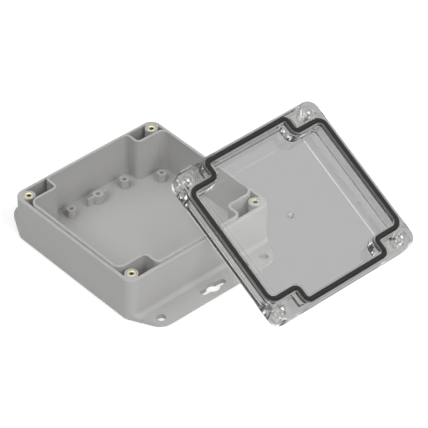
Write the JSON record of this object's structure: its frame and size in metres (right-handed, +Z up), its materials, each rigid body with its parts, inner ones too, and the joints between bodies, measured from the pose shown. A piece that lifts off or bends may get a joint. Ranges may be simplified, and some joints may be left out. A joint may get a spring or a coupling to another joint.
{
  "type": "flanged junction enclosure",
  "caption": "Flanged plastic junction enclosure with brass corner inserts, its clear gasketed lid taken off and leaning upside down on the rim.",
  "frame": {"origin": "centre of the base's underside", "axes": "+X across the flanged sides, +Y along them, +Z up out of the open base"},
  "size_m": [0.1824, 0.1626, 0.0603],
  "materials": {
    "housing": "light grey moulded plastic",
    "clear_lid": "clear polycarbonate",
    "gasket": "dark foam gasket",
    "brass": "turned brass",
    "screw_steel": "plain steel",
    "ring_nylon": "natural nylon"
  },
  "bodies": {
    "base": {"enclosure_base": "housing", "brass_insert_front_left": "brass", "brass_insert_back_left": "brass", "brass_insert_front_right": "brass", "brass_insert_back_right": "brass"},
    "lid": {"lid_cover": "clear_lid", "lid_gasket": "gasket"},
    "ring_front_left": {"screw_ring_front_left": "ring_nylon"},
    "screw_front_left": {"lid_screw_front_left": "screw_steel"},
    "ring_back_left": {"screw_ring_back_left": "ring_nylon"},
    "screw_back_left": {"lid_screw_back_left": "screw_steel"},
    "ring_front_right": {"screw_ring_front_right": "ring_nylon"},
    "screw_front_right": {"lid_screw_front_right": "screw_steel"},
    "ring_back_right": {"screw_ring_back_right": "ring_nylon"},
    "screw_back_right": {"lid_screw_back_right": "screw_steel"}
  },
  "joints": [
    {"name": "lid_lift", "type": "slide", "parent": "base", "child": "lid", "axis": [0, 0, 1], "range_m": [0, 0.08]},
    {"name": "screw_travel_front_left", "type": "slide", "parent": "lid", "child": "ring_front_left", "axis": [0.4818, 0, 0.8763], "range_m": [0, 0.00505]},
    {"name": "screw_turn_front_left", "type": "hinge", "parent": "ring_front_left", "child": "screw_front_left", "pos_m": [0.1092, 0.0102, 0.01334], "axis": [0.4818, 0, 0.8763], "continuous": true},
    {"name": "screw_travel_back_left", "type": "slide", "parent": "lid", "child": "ring_back_left", "axis": [0.4818, 0, 0.8763], "range_m": [0, 0.00505]},
    {"name": "screw_turn_back_left", "type": "hinge", "parent": "ring_back_left", "child": "screw_back_left", "pos_m": [0.1092, 0.103, 0.01334], "axis": [0.4818, 0, 0.8763], "continuous": true},
    {"name": "screw_travel_front_right", "type": "slide", "parent": "lid", "child": "ring_front_right", "axis": [0.4818, 0, 0.8763], "range_m": [0, 0.00505]},
    {"name": "screw_turn_front_right", "type": "hinge", "parent": "ring_front_right", "child": "screw_front_right", "pos_m": [0.02963, 0.0102, 0.05708], "axis": [0.4818, 0, 0.8763], "continuous": true},
    {"name": "screw_travel_back_right", "type": "slide", "parent": "lid", "child": "ring_back_right", "axis": [0.4818, 0, 0.8763], "range_m": [0, 0.00505]},
    {"name": "screw_turn_back_right", "type": "hinge", "parent": "ring_back_right", "child": "screw_back_right", "pos_m": [0.02963, 0.103, 0.05708], "axis": [0.4818, 0, 0.8763], "continuous": true}
  ]
}
